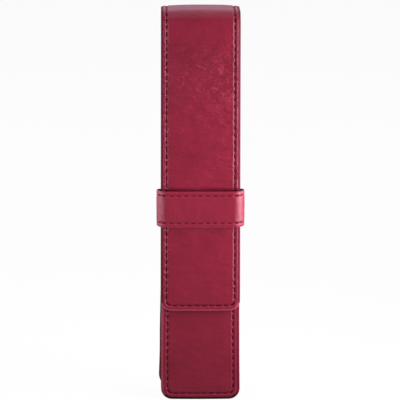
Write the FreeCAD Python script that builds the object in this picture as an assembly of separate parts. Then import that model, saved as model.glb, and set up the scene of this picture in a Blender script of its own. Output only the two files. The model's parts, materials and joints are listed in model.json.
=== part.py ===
import FreeCAD, Part
import math
import os

from FreeCAD import Vector

os.makedirs("parts", exist_ok=True)

# A sleeve for one pen: two stiffened leather panels sewn to an inset channel gusset. The back panel's leather
# runs on over the mouth and down the front as a flap, whose tip is tucked under a strap.
# Lengths are in millimetres. X runs across the sleeve, the front faces -Y and Z runs up its length.
# The origin is the middle of the base.

# The sleeve as a whole
sleeve_height = 160.0
cover_width = 32.2
front_setback = 0.35
pocket_depth = 13.5
corner_radius = 3.9
panel_edge_round = 0.5
mouth_drop = 6.5
gusset_drop = 8.0

# Thickness of each layer
cover_leather = 1.3
front_leather = 1.3
lining_thickness = 0.7
board_thickness = 0.6
gusset_leather = 1.0
gusset_lining_thickness = 0.5
strap_leather = 0.85
strap_lining_thickness = 0.5
strap_tab_thickness = 0.6

# The fold over the mouth, and the flap in three lengths
fold_inner_radius = 1.0
fold_lead = 0.5
flap_end_height = 37.9
flap_corner_radius = 3.6
cover_edge_round = 0.8
flap_clearance = 0.3
length_clearance = 0.1
tip_lead = 0.9

# The strap, with its ends caught in the front seam
strap_bottom = 73.3
strap_height = 14.4
strap_bend_radius = 1.4
tab_bend_radius = 0.7
strap_clearance = 0.35
strap_side_clearance = 0.25

# The gusset's web and the boards
web_inset = 3.4
web_corner_radius = 2.5
rise_clearance = 0.2
rise_wall = 0.4
board_corner_radius = 1.5
board_top_drop = 4.0

# Stitching, sunk in grooves
stitch_pitch = 2.9
stitch_length = 2.3
stitch_width = 0.6
stitch_thickness = 0.4
groove_width = 0.8
groove_depth = 0.45
cover_stitch_inset = 2.1
front_stitch_inset = 2.4
strap_stitch_inset = 1.8
mouth_stitch_inset = 2.0

# How far cutting shapes run past what they cut, and how near counts as touching
cut_overrun = 5.0
match_tolerance = 0.001

# Depths of the layers, from the strap's face at the front to the back face
flap_thickness = cover_leather + lining_thickness
strap_thickness = strap_leather + strap_lining_thickness
panel_stack = board_thickness + lining_thickness
body_depth = front_leather + panel_stack + pocket_depth + panel_stack + cover_leather
overall_depth = strap_thickness + strap_clearance + flap_thickness + flap_clearance + body_depth

strap_face = -overall_depth / 2
strap_mid = strap_face + strap_leather
strap_inner = strap_mid + strap_lining_thickness
flap_face = strap_inner + strap_clearance
flap_mid = flap_face + cover_leather
flap_inner = flap_mid + lining_thickness
front_face = flap_inner + flap_clearance
front_inner = front_face + front_leather
front_seam = front_inner + lining_thickness
back_face = overall_depth / 2
back_inner = back_face - cover_leather
back_seam = back_inner - lining_thickness

# Heights
front_top = sleeve_height - mouth_drop
gusset_top = sleeve_height - gusset_drop
board_top = gusset_top - board_top_drop
strap_top = strap_bottom + strap_height
fold_mid_radius = fold_inner_radius + lining_thickness
fold_outer_radius = fold_mid_radius + cover_leather
hinge_top = sleeve_height - fold_outer_radius - fold_lead
hinge_tip = strap_top + tip_lead
hinge_middle = (hinge_top + hinge_tip) / 2

# Insets from the front panel's outline
web_inner_inset = web_inset + gusset_leather
pocket_inset = web_inner_inset + gusset_lining_thickness
rise_inset = pocket_inset + rise_clearance
board_inset = rise_inset + rise_wall

# Widths
front_width = cover_width - 2 * front_setback
cover_half = cover_width / 2
front_half = front_width / 2
strap_half = cover_half + strap_side_clearance + strap_thickness
strap_flat_half = strap_half - strap_bend_radius - strap_thickness
tab_end_half = front_half - web_inset

FRONTWARD = Vector(0, -1, 0)
BACKWARD = Vector(0, 1, 0)
UPWARD = Vector(0, 0, 1)


def rounded_face(corners):
    """Flat face from (point, radius) corners, with an arc at each corner whose radius isn't zero."""
    starts = []
    ends = []
    edges = []
    count = len(corners)
    for index in range(count):
        point, radius = corners[index]
        before = (corners[index - 1][0] - point).normalize()
        after = (corners[(index + 1) % count][0] - point).normalize()
        half_angle = before.getAngle(after) / 2
        reach = radius / math.tan(half_angle)
        starts.append(point + before * reach)
        ends.append(point + after * reach)
        if radius > 0:
            bisector = (before + after).normalize()
            middle = point + bisector * (radius / math.sin(half_angle) - radius)
            edges.append(Part.Arc(starts[index], middle, ends[index]).toShape())
    for index in range(count):
        following = (index + 1) % count
        if ends[index].distanceToPoint(starts[following]) > match_tolerance:
            edges.append(Part.makeLine(ends[index], starts[following]))
    return Part.Face(Part.Wire(Part.__sortEdges__(edges)))


def panel_face(width, bottom, top, radius):
    """Outline in the XZ plane, square at its top and rounded at its two lower corners."""
    half = width / 2
    return rounded_face([
        (Vector(-half, 0, bottom), radius),
        (Vector(half, 0, bottom), radius),
        (Vector(half, 0, top), 0),
        (Vector(-half, 0, top), 0),
    ])


def inset_face(width, bottom, top, radius, inset):
    """The same outline, drawn in at its sides and its bottom."""
    return panel_face(width - 2 * inset, bottom + inset, top, max(radius - inset, 0))


def between_depths(face, y_from, y_to):
    """Solid from an outline in the XZ plane, between two depths."""
    solid = face.extrude(Vector(0, y_to - y_from, 0))
    solid.translate(Vector(0, y_from, 0))
    return solid


def between_sides(profile, x_from, x_to):
    """Solid from a profile in the YZ plane, between two places across the sleeve."""
    solid = profile.extrude(Vector(x_to - x_from, 0, 0))
    solid.translate(Vector(x_from, 0, 0))
    return solid


def between_heights(profile, z_from, z_to):
    """Solid from a plan in the XY plane, between two heights."""
    solid = profile.extrude(Vector(0, 0, z_to - z_from))
    solid.translate(Vector(0, 0, z_from))
    return solid


def block(one, other):
    """Box between two opposite corners."""
    low = Vector(min(one.x, other.x), min(one.y, other.y), min(one.z, other.z))
    high = Vector(max(one.x, other.x), max(one.y, other.y), max(one.z, other.z))
    size = high - low
    return Part.makeBox(size.x, size.y, size.z, low)


def round_rim(solid, depth, open_heights, radius):
    """Rounds the rim of the face at one depth, apart from its edges that lie at the open heights."""
    chosen = []
    for edge in solid.Edges:
        reach = edge.BoundBox
        on_face = abs(reach.YMin - depth) < match_tolerance and abs(reach.YMax - depth) < match_tolerance
        level = abs(reach.ZMax - reach.ZMin) < match_tolerance
        open_end = level and any(abs(reach.ZMin - height) < match_tolerance for height in open_heights)
        if on_face and not open_end:
            chosen.append(edge)
    return solid.makeFillet(radius, chosen)


def seam_groove(width, bottom, top, radius, inset, face_depth, inward):
    """Groove down both sides and across the bottom of a panel, cut into the face at one depth."""
    outer = inset_face(width, bottom, top, radius, inset - groove_width / 2)
    inner = inset_face(width, bottom, top + cut_overrun, radius, inset + groove_width / 2)
    return between_depths(outer.cut(inner), face_depth, face_depth + inward.y * groove_depth)


def stitch_row(start, end, outward):
    """Separate stitches from start to end, that lie on a groove's floor and stand out from it."""
    length = start.distanceToPoint(end)
    along = (end - start).normalize()
    side = along.cross(outward) * (stitch_width / 2)
    count = max(int(length // stitch_pitch), 1)
    lead = (length - (count - 1) * stitch_pitch - stitch_length) / 2
    stitches = []
    for index in range(count):
        begin = start + along * (lead + index * stitch_pitch)
        finish = begin + along * stitch_length + outward * stitch_thickness
        stitches.append(block(begin - side, finish + side))
    return stitches


def side_rows(half, bottom, top, floor_depth, outward):
    """A row of stitches up each side of a panel."""
    rows = []
    for x in (-half, half):
        rows += stitch_row(Vector(x, floor_depth, bottom), Vector(x, floor_depth, top), outward)
    return rows


def level_row(half, height, floor_depth, outward):
    """A row of stitches straight across."""
    return stitch_row(Vector(-half, floor_depth, height), Vector(half, floor_depth, height), outward)


def fold_profile(outer_shift, radius, foot):
    """Profile of the space under the fold over the mouth, drawn in from the cover's outer face."""
    back = back_face - outer_shift
    front = flap_face + outer_shift
    top = sleeve_height - outer_shift
    return rounded_face([
        (Vector(0, back, foot), 0),
        (Vector(0, back, top), radius),
        (Vector(0, front, top), radius),
        (Vector(0, front, foot), 0),
    ])


def rounded_block():
    """The block that the cover goes round, with the rim of the back, of the fold and of its ends rounded."""
    sides = between_sides(fold_profile(0, fold_outer_radius, 0), -cover_half, cover_half)
    outline = panel_face(cover_width, 0, sleeve_height, corner_radius)
    solid = sides.common(between_depths(outline, flap_face, back_face)).removeSplitter()
    chosen = []
    for edge in solid.Edges:
        reach = edge.BoundBox
        on_end = reach.XLength < match_tolerance and abs(abs(reach.XMin) - cover_half) < match_tolerance
        seam_line = on_end and reach.ZMax < corner_radius + match_tolerance
        on_back = reach.YLength < match_tolerance and abs(reach.YMin - back_face) < match_tolerance
        low = reach.ZMax < corner_radius + match_tolerance
        if (on_end and not seam_line) or (on_back and low):
            chosen.append(edge)
    return solid.makeFillet(cover_edge_round, chosen)


def cover_layer(outer_shift, outer_radius, inner_shift, inner_radius):
    """One layer of the cover: up the back, over the mouth and down to where the flap starts."""
    fold_end = hinge_top + length_clearance / 2
    shell = fold_profile(outer_shift, outer_radius, -cut_overrun)
    shell = shell.cut(fold_profile(inner_shift, inner_radius, -2 * cut_overrun))
    layer = between_sides(shell, -cover_half, cover_half)
    outline = panel_face(cover_width, 0, sleeve_height + cut_overrun, corner_radius)
    layer = layer.common(between_depths(outline, strap_face, back_face))
    below_fold = block(
        Vector(-cover_width, front_face, -cut_overrun),
        Vector(cover_width, strap_face - cut_overrun, fold_end),
    )
    return layer.cut(below_fold)


def cover_back():
    """The cover's leather, with a stitch groove along its edges."""
    leather = cover_layer(0, fold_outer_radius, cover_leather, fold_mid_radius).common(rounded_block())
    fold_foot = sleeve_height - fold_outer_radius
    cuts = [seam_groove(cover_width, 0, fold_foot, corner_radius, cover_stitch_inset, back_face, FRONTWARD)]
    strip = fold_profile(0, fold_outer_radius, hinge_top)
    strip = strip.cut(fold_profile(groove_depth, fold_outer_radius - groove_depth, hinge_top - cut_overrun))
    for x in (-cover_half + cover_stitch_inset, cover_half - cover_stitch_inset):
        cuts.append(between_sides(strip, x - groove_width / 2, x + groove_width / 2))
    return leather.cut(cuts)


def board_face(inset, radius):
    """Outline of a stiffener board, or of the lining's rise over it."""
    half = front_half - inset
    top = board_top + board_inset - inset
    return rounded_face([
        (Vector(-half, 0, inset), radius),
        (Vector(half, 0, inset), radius),
        (Vector(half, 0, top), radius),
        (Vector(-half, 0, top), radius),
    ])


def board(face_depth, inward):
    """Stiffener board that lies against a panel's leather."""
    return between_depths(board_face(board_inset, board_corner_radius), face_depth,
                          face_depth + inward.y * board_thickness)


def raise_over_board(lining, face_depth, inward):
    """Lining that rises over its board and comes down on the leather all round it."""
    rise = between_depths(board_face(rise_inset, board_corner_radius + rise_wall), face_depth,
                          face_depth + inward.y * panel_stack)
    return lining.fuse(rise).cut(board(face_depth, inward)).removeSplitter()


def cover_lining():
    """Lining of the back, the fold and its turn down to the flap."""
    lining = cover_layer(cover_leather, fold_mid_radius, flap_thickness, fold_inner_radius)
    return raise_over_board(lining, back_inner, FRONTWARD)


def front_panel():
    """The front panel's leather, with a seam groove and a groove along its mouth."""
    outline = panel_face(front_width, 0, front_top, corner_radius)
    leather = round_rim(between_depths(outline, front_face, front_inner), front_face, [], panel_edge_round)
    mouth_height = front_top - mouth_stitch_inset
    mouth_half = front_half - front_stitch_inset
    mouth_groove = block(
        Vector(-mouth_half, front_face, mouth_height - groove_width / 2),
        Vector(mouth_half, front_face + groove_depth, mouth_height + groove_width / 2),
    )
    seam = seam_groove(front_width, 0, mouth_height, corner_radius, front_stitch_inset, front_face, BACKWARD)
    return leather.cut([seam, mouth_groove])


def front_lining():
    """Lining of the front panel."""
    outline = panel_face(front_width, 0, front_top, corner_radius)
    return raise_over_board(between_depths(outline, front_inner, front_seam), front_inner, BACKWARD)


def channel_face(inset, top):
    """Outline that the gusset's web follows, down one side, along the base and up the other."""
    return panel_face(front_width - 2 * inset, inset, top, max(web_corner_radius - inset + web_inset, 0))


def strap_tab_space():
    """Room in the gusset's front flange for the strap's two ends."""
    spaces = []
    for side in (-1, 1):
        spaces.append(block(
            Vector(side * tab_end_half, front_seam, strap_bottom),
            Vector(side * strap_half, front_seam + strap_tab_thickness, strap_top),
        ))
    return spaces


def gusset():
    """Leather channel between the panels: an inset web with a flange out along each panel."""
    outline = panel_face(front_width, 0, gusset_top, corner_radius)
    hollow = channel_face(web_inner_inset, gusset_top + cut_overrun)
    flange = outline.cut(hollow)
    web = channel_face(web_inset, gusset_top).cut(hollow)
    front_flange = between_depths(flange, front_seam, front_seam + gusset_leather)
    back_flange = between_depths(flange, back_seam - gusset_leather, back_seam)
    channel = front_flange.fuse([back_flange, between_depths(web, front_seam, back_seam)]).removeSplitter()
    return channel.cut(strap_tab_space())


def gusset_lining():
    """Lining on the pocket side of the gusset's web."""
    hollow = channel_face(pocket_inset, gusset_top + cut_overrun)
    return between_depths(channel_face(web_inner_inset, gusset_top).cut(hollow), front_seam, back_seam)


def strap_plan(shift, rear, rear_radius):
    """Plan of the strap's outline, drawn in from its outer face."""
    half = strap_half - shift
    bend = strap_bend_radius + strap_thickness - shift
    return rounded_face([
        (Vector(-half, strap_face + shift, 0), bend),
        (Vector(half, strap_face + shift, 0), bend),
        (Vector(half, rear, 0), rear_radius),
        (Vector(-half, rear, 0), rear_radius),
    ])


def strap():
    """Strap leather: across the front, back along both sides and into the front seam with pared ends."""
    tab_rear = front_seam + strap_tab_thickness
    plan = strap_plan(0, tab_rear, tab_bend_radius + strap_leather)
    plan = plan.cut(strap_plan(strap_leather, front_seam, tab_bend_radius))
    band = between_heights(plan, strap_bottom, strap_top)
    cuts = [block(
        Vector(-tab_end_half, front_seam - match_tolerance, strap_bottom - cut_overrun),
        Vector(tab_end_half, tab_rear + cut_overrun, strap_top + cut_overrun),
    )]
    for height in strap_row_heights():
        cuts.append(block(
            Vector(-strap_flat_half, strap_face, height - groove_width / 2),
            Vector(strap_flat_half, strap_face + groove_depth, height + groove_width / 2),
        ))
    return band.cut(cuts)


def strap_lining():
    """Lining on the inside of the strap, up to the front panel's face."""
    plan = strap_plan(strap_leather, front_seam, tab_bend_radius)
    plan = plan.cut(strap_plan(strap_thickness, front_seam + cut_overrun, 0))
    band = between_heights(plan, strap_bottom, strap_top)
    beyond = block(
        Vector(-strap_half, front_face, strap_bottom - cut_overrun),
        Vector(strap_half, back_face, strap_top + cut_overrun),
    )
    return band.cut(beyond)


def strap_row_heights():
    """Heights of the strap's lower and upper rows of stitches."""
    return (strap_bottom + strap_stitch_inset, strap_top - strap_stitch_inset)


def flap_length_leather(bottom, top, corner):
    """Leather of one length of the flap; only the tip has a free end with rounded corners."""
    outline = panel_face(cover_width, bottom, top, corner)
    open_heights = [top] if corner > 0 else [bottom, top]
    leather = round_rim(between_depths(outline, flap_face, flap_mid), flap_face, open_heights, cover_edge_round)
    if corner > 0:
        return leather.cut(seam_groove(cover_width, bottom, top, corner, cover_stitch_inset, flap_face, BACKWARD))
    cuts = []
    for x in (-cover_half + cover_stitch_inset, cover_half - cover_stitch_inset):
        cuts.append(block(
            Vector(x - groove_width / 2, flap_face, bottom),
            Vector(x + groove_width / 2, flap_face + groove_depth, top),
        ))
    return leather.cut(cuts)


def flap_length_thread(bottom, top, corner):
    """Edge stitches of one length of the flap."""
    floor_depth = flap_face + groove_depth
    rows = side_rows(cover_half - cover_stitch_inset, bottom + corner, top, floor_depth, FRONTWARD)
    if corner > 0:
        rows += level_row(cover_half - corner, bottom + cover_stitch_inset, floor_depth, FRONTWARD)
    return Part.makeCompound(rows)


def front_seam_thread():
    """Stitches that hold the front panel to the gusset."""
    floor_depth = front_face + groove_depth
    mouth_height = front_top - mouth_stitch_inset
    rows = side_rows(front_half - front_stitch_inset, corner_radius, gusset_top, floor_depth, FRONTWARD)
    rows += level_row(front_half - corner_radius, front_stitch_inset, floor_depth, FRONTWARD)
    return Part.makeCompound([stitch for stitch in rows if stitch.BoundBox.ZMax < mouth_height])


def mouth_thread():
    """Stitches that close the front panel's mouth on its lining."""
    mouth_half = front_half - front_stitch_inset - groove_width
    rows = level_row(mouth_half, front_top - mouth_stitch_inset, front_face + groove_depth, FRONTWARD)
    return Part.makeCompound(rows)


def back_seam_thread():
    """Stitches that hold the back to the gusset."""
    floor_depth = back_face - groove_depth
    side = cover_half - cover_stitch_inset
    rows = side_rows(side, corner_radius, sleeve_height - fold_outer_radius, floor_depth, BACKWARD)
    rows += level_row(cover_half - corner_radius, cover_stitch_inset, floor_depth, BACKWARD)
    return Part.makeCompound(rows)


def fold_thread():
    """Edge stitches along the two ends of the fold over the mouth."""
    floor_height = sleeve_height - groove_depth
    rows = []
    for x in (-cover_half + cover_stitch_inset, cover_half - cover_stitch_inset):
        rear = Vector(x, back_face - fold_outer_radius, floor_height)
        front = Vector(x, flap_face + fold_outer_radius, floor_height)
        rows += stitch_row(rear, front, UPWARD)
    return Part.makeCompound(rows)


def strap_thread(height):
    """One of the strap's two rows of stitches."""
    return Part.makeCompound(level_row(strap_flat_half, height, strap_face + groove_depth, FRONTWARD))


def save(name, shape):
    """Writes one piece."""
    shape.exportStep(os.path.join("parts", name + ".step"))


save("cover_back", cover_back())
save("cover_lining", cover_lining())
save("back_board", board(back_inner, FRONTWARD))
save("front_panel", front_panel())
save("front_board", board(front_inner, BACKWARD))
save("front_lining", front_lining())
save("gusset", gusset())
save("gusset_lining", gusset_lining())
save("strap", strap())
save("strap_lining", strap_lining())
save("front_seam_thread", front_seam_thread())
save("mouth_thread", mouth_thread())
save("back_seam_thread", back_seam_thread())
save("fold_thread", fold_thread())
for row_name, row_height in zip(("strap_lower_thread", "strap_upper_thread"), strap_row_heights()):
    save(row_name, strap_thread(row_height))

flap_lengths = (
    ("flap_upper", hinge_middle + length_clearance / 2, hinge_top - length_clearance / 2, 0),
    ("flap_middle", hinge_tip + length_clearance / 2, hinge_middle - length_clearance / 2, 0),
    ("flap_tip", flap_end_height, hinge_tip - length_clearance / 2, flap_corner_radius),
)
for length_name, length_bottom, length_top, end_corner in flap_lengths:
    lining_outline = panel_face(cover_width, length_bottom, length_top, end_corner)
    save(length_name, flap_length_leather(length_bottom, length_top, end_corner))
    save(length_name + "_lining", between_depths(lining_outline, flap_mid, flap_inner))
    save(length_name + "_thread", flap_length_thread(length_bottom, length_top, end_corner))
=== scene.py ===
"""A single pen sleeve of soft leather: its dressed pieces, finishes, light and camera."""
import json
import math
from collections import namedtuple
from dataclasses import dataclass

import bmesh
import bpy
import numpy as np
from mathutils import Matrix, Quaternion, Vector, noise


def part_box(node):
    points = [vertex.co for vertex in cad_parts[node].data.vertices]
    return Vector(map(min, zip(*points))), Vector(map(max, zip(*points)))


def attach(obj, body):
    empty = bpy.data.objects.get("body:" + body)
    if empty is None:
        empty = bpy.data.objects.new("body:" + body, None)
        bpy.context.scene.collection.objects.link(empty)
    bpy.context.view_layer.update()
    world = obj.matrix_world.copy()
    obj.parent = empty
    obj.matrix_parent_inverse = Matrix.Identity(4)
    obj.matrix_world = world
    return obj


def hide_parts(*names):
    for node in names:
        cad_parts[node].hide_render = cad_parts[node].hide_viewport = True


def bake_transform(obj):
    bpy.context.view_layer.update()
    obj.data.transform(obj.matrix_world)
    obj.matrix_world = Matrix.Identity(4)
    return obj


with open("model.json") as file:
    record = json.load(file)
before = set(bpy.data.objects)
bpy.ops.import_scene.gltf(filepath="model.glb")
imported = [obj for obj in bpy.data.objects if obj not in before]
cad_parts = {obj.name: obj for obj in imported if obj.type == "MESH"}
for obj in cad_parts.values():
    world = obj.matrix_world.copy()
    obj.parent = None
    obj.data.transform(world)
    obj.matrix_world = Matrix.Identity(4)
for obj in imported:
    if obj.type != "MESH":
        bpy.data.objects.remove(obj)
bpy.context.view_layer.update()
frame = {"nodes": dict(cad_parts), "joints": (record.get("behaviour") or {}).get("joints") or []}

# How far worn leather has stretched past its cut size, and sunk, in metres.
FLAP_STRETCH = 0.00012
STRAP_STRETCH = 0.00035
STRAP_SAG = 0.00017

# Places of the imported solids, in metres.
X, Y, Z = 0, 1, 2
LOW = {name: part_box(name)[0] for name in frame["nodes"]}
HIGH = {name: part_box(name)[1] for name in frame["nodes"]}
HINGES = {joint["name"]: joint["pos_m"][Z] for joint in frame["joints"]}

TOP = HIGH["cover_back"][Z]
COVER_HALF = HIGH["cover_back"][X]
BACK_FACE = HIGH["cover_back"][Y]
FLAP_FACE = LOW["flap_tip"][Y]
FLAP_END = LOW["flap_tip"][Z] - FLAP_STRETCH
COVER_LEATHER = HIGH["flap_tip"][Y] - FLAP_FACE
FLAP_STACK = HIGH["flap_tip_lining"][Y] - FLAP_FACE
FRONT_HALF = HIGH["front_panel"][X]
FRONT_FACE = LOW["front_panel"][Y]
FRONT_TOP = HIGH["front_panel"][Z]
FRONT_LEATHER = HIGH["front_panel"][Y] - FRONT_FACE
FRONT_STACK = HIGH["front_lining"][Y] - FRONT_FACE
BOARD = HIGH["front_board"][Y] - LOW["front_board"][Y]
BOARD_HALF = HIGH["front_board"][X]
BOARD_LOW = LOW["front_board"][Z]
BOARD_TOP = HIGH["front_board"][Z]
GUSSET_TOP = HIGH["gusset"][Z]
GUSSET_FRONT = LOW["gusset"][Y]
GUSSET_BACK = HIGH["gusset"][Y]
STRAP_HALF = HIGH["strap"][X]
STRAP_FACE = LOW["strap"][Y]
STRAP_REAR = HIGH["strap"][Y]
STRAP_LEATHER = LOW["strap_lining"][Y] - STRAP_FACE
STRAP_LOW = LOW["strap"][Z] - STRAP_SAG - STRAP_STRETCH
STRAP_TOP = HIGH["strap"][Z] - STRAP_SAG
STRAP_MIDDLE = (STRAP_LOW + STRAP_TOP) / 2
STRAP_HEIGHT_HALF = (STRAP_TOP - STRAP_LOW) / 2

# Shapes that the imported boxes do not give, in metres.
FOLD_RADIUS = 0.0030
FOLD_FRONT_RADIUS = 0.0050
BOTTOM_RADIUS = 0.0044
BACK_RADIUS = 0.0064
FLAP_RADIUS = 0.0043
MOUTH_RADIUS = 0.0012
STRAP_BEND = 0.0033
BEND_OUTSIDE = 0.0048
BEND_GIVE_SHARE = 0.25
STRAP_LINING = 0.0005
TAB_BEND = 0.00155
TAB_THICKNESS = 0.0006
TAB_END = 0.01235
PRESS_DEPTH = 0.00030
PRESS_REACH = 0.0018
PRESS_LEAD = 0.0012
GUSSET_LEATHER = 0.0010
GUSSET_LINING = 0.0005
WEB_INSET = 0.0034
WEB_RADIUS = 0.0025
WEB_BEND = 0.0009
WEB_BOW = 0.0009
FLANGE_FLAT_SHARE = 0.4
RISE_WALL = 0.0008

# Edges, seam grooves and stitches. An edge has the reach and the drop of its rounding.
PANEL_EDGE = (0.00140, 0.00090)
FLAP_END_EDGE = (0.00065, 0.00055)
END_BLEND = 0.0020
# How the pale line round the flap's tip fades at its corners, and where the pale line along the front panel's
# left side lies and how narrow it is; both lines are partly wear and partly a painted highlight.
TIP_FADE_SHARE = 0.30
LINE_INSET = 0.00068
LINE_SHARPNESS = 3.4
FOLD_FIRM_SHARE = 0.60
FOLD_FIRM_REACH = 0.0040
STRAP_EDGE = (0.00060, 0.00042)
Seam = namedtuple("Seam", "slot bridge outer inner outer_lip inner_lip pillow")
PANEL_SEAM = Seam(0.00050, 0.00009, 0.00036, 0.00036, 0.00017, 0.00008, 0.00022)
STRAP_SEAM = Seam(0.00036, 0.00006, 0.00028, 0.00028, 0.00003, 0.00003, 0.00006)
OUTER_LIP_REACH = 0.00075
INNER_LIP_REACH = 0.00080
LIP_SPREAD = 0.00040
PILLOW_REACH = 0.0014
SLOT_REACH_SHARES = (0.24, 0.43)
COVER_INSET = 0.0023
FRONT_INSET = 0.0026
STRAP_INSET = 0.0018
STITCH_PITCH = 0.0029
STITCH_LENGTH = 0.0021
STITCH_RADIUS = 0.00027
STITCH_SINK = 0.00030
STITCH_DIVE = 0.00042
STITCH_SLANT = math.radians(9)
SLANT_CHANGE_SHARE = 0.35
SLANT_CHANGE_RATE = 2.4
STITCH_TAPER_SHARE = 0.3
STITCH_RINGS = 11
STITCH_SIDES = 8
PLY_BULGE_SHARE = 0.20
PLY_TURNS = 1.6
PAINT_SHARE = 0.43

# Soft unevenness of hand-worked leather.
FOLD_TAPER = 0.0004
BACK_LEAN = 0.00030
BACK_LEAN_TOP = 0.045
BACK_LEAN_RUN = 0.023
FOOT_LEAN = 0.00045
FOOT_HEIGHT = 0.020
FRONT_LEAN = 0.00012
FRONT_FLARE = 0.0003
FLARE_HEIGHT = 0.055
FOLD_SAG = 0.00042
CROWN_RISE = 0.00028
CROWN_FALL = 0.00022
CROWN_FADE = 0.016
SWELL = 0.00007
SWELL_WAVES = (70.0, 120.0)
CREASE = 0.00003
CREASE_WAVES = (90.0, 330.0)
SOFT_START = 0.0025
SOFT_RUN = 0.0035
COVER_SEED = 3.1
FRONT_SEED = 11.7
STRAP_SEED = 23.3
CREASE_SEED_STEP = 7.5

# How strongly the leather is creased: at heights on the flap, on the fold and on the front panel.
FLAP_CREASES = (
    (0.153, 0.4), (0.141, 2.2), (0.128, 2.2), (0.112, 1.4), (0.092, 1.2), (0.075, 0.65), (0.040, 0.55),
)
FOLD_CREASE = 0.4
FRONT_CREASE = 0.32

# Mesh steps.
ROW_STEP = STITCH_PITCH / 6
COLUMN_STEP = 0.0016
LINING_STEP = 0.0020
ARC_STEP = 0.00035
SIDE_STEP = 0.0040
CUT_STEPS = (0.0, 0.00008)
ROUND_STEPS = (0.0, 0.0004, 0.001, 0.002, 0.003, 0.004)
SEAM_STEP_SHARES = (0.0, 0.02, 0.07, 0.14, 0.22, 0.32, 0.42, 0.52, 0.62, 0.72, 0.81, 0.91, 1.0,
                    1.10, 1.21, 1.34, 1.50, 1.72, 2.05)
CORNER_POINTS = 7
BASE_POINTS = 9
BEND_POINTS = 6
WEB_POINTS = 9
LEAST_STEP = 1e-6
TINY = 1e-9
SHARP_ANGLE = math.radians(48)

# Distances from the flap's hinges, listed with the flap's lengths but not used, and where on the fold its
# leather is parted.
ROOT_BEND = 0.0029
KNEE_BEND = 0.0090
TIP_BEND = 0.0090
FOLD_CUT_SHARE = 0.3

FLAT_MAP = "flat"
FLAT_UNIT = 1000.0

# Which finish a face of a piece has.
FACE, PAINTED, BACK, WALL = range(4)


class BentPath:
    """A line of straight runs and round left bends, followed by its length on the outer face."""

    def __init__(self, corners, radii):
        points = [np.array(corner, float) for corner in corners]
        self.parts = []
        self.length = 0.0
        start = points[0]
        for index in range(1, len(points)):
            way = points[index] - points[index - 1]
            way = way / np.hypot(*way)
            last = index == len(points) - 1
            reach = 0.0 if last else radii[index - 1]
            end = points[index] - way * reach
            self.add_run(start, way, np.hypot(*(end - start)))
            if not last:
                self.add_bend(end, way, reach)
                following = points[index + 1] - points[index]
                start = points[index] + following / np.hypot(*following) * reach

    def add_run(self, start, way, length):
        self.parts.append(("run", self.length, length, start, way))
        self.length += length

    def add_bend(self, start, way, radius):
        centre = start + np.array([-way[1], way[0]]) * radius
        self.parts.append(("bend", self.length, radius * math.pi / 2, centre, way))
        self.length += radius * math.pi / 2

    def points(self, along, depth):
        """Both coordinates of points at a length along the outer face and a depth below it."""
        first = np.zeros_like(along)
        second = np.zeros_like(along)
        for kind, begin, length, origin, way in self.parts:
            here = (along >= begin - TINY) & (along <= begin + length + TINY)
            step = along[here] - begin
            outward = np.array([way[1], -way[0]])
            if kind == "run":
                first[here] = origin[0] + way[0] * step - outward[0] * depth[here]
                second[here] = origin[1] + way[1] * step - outward[1] * depth[here]
            else:
                radius = length / (math.pi / 2)
                turn = math.atan2(outward[1], outward[0]) + step / radius
                first[here] = origin[0] + (radius - depth[here]) * np.cos(turn)
                second[here] = origin[1] + (radius - depth[here]) * np.sin(turn)
        return first, second

    def bend_stops(self, step):
        """Lengths that divide each bend finely."""
        stops = []
        for kind, begin, length, origin, way in self.parts:
            if kind == "bend":
                stops.extend(np.linspace(begin, begin + length, int(length / step) + 1))
        return stops


def ease(share):
    """A smooth step from 0 to 1."""
    share = np.clip(share, 0, 1)
    return share * share * (3 - 2 * share)


def near_band(along, band, reach):
    """How far a length lies in a band, from 0 to 1, with soft ends. Without a band it is 0."""
    if band is None:
        return np.zeros_like(along)
    low, high = band
    return ease(1 - np.maximum(low - along, along - high) / reach)


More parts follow.
